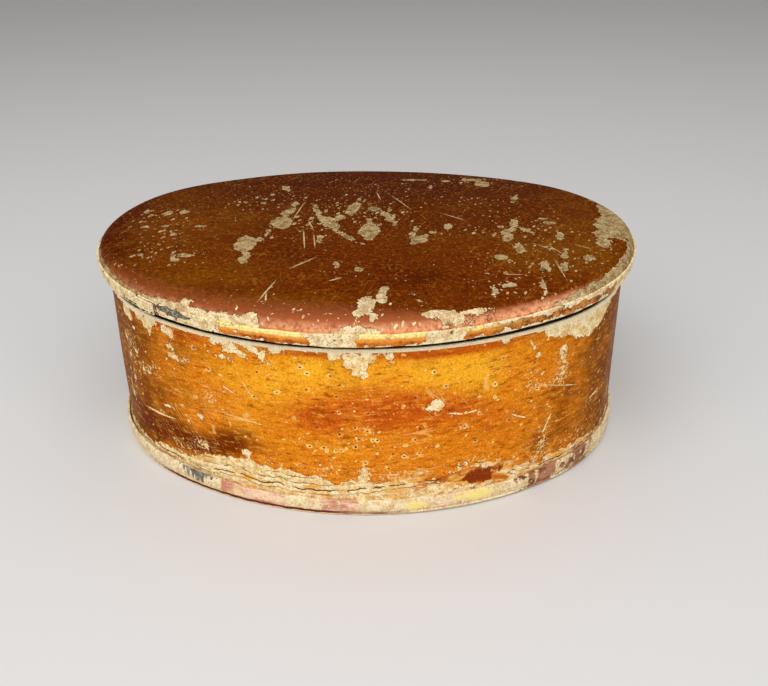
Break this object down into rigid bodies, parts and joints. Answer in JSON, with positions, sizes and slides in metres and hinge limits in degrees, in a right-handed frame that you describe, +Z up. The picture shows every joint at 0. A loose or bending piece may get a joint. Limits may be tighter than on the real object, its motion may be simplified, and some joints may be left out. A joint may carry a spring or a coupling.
{
  "type": "oval lidded box",
  "caption": "Small oval box of thin lacquered sheet metal: lapped wall, soldered base with a turned-up edge, and a low domed lid that plugs into the mouth.",
  "frame": {"origin": "on the table, under the middle of the box", "axes": "+X along the oval, +Y across it towards the lapped seam of the wall, +Z up"},
  "size_m": [0.1006, 0.0818, 0.039],
  "materials": {
    "wall_lacquer": "translucent amber lacquer on tinplate, glossy, chipped and pitted",
    "base_lacquer": "amber lacquer mostly worn through to dull beige tin",
    "lid_lacquer": "translucent dark brown lacquer on tinplate, glossy, chipped and scratched",
    "rim_lacquer": "amber lacquer half worn through to dull beige tin",
    "inner_tin": "bare tinplate, dulled and stained with age",
    "solder": "soft solder, dull grey, lumpy"
  },
  "bodies": {
    "body": {"body_wall": "wall_lacquer", "wall_lap_solder": "solder", "base_plate": "base_lacquer", "base_seam_solder": "solder"},
    "lid": {"lid_top": "lid_lacquer", "lid_rim": "rim_lacquer", "rim_lap_solder": "solder", "lid_rim_solder": "solder", "lid_plug": "inner_tin", "plug_lap_solder": "solder", "lid_plug_solder": "solder"}
  },
  "joints": [
    {"name": "lid_lift", "type": "slide", "parent": "body", "child": "lid", "axis": [0, 0, 1], "range_m": [0, 0.05]}
  ]
}
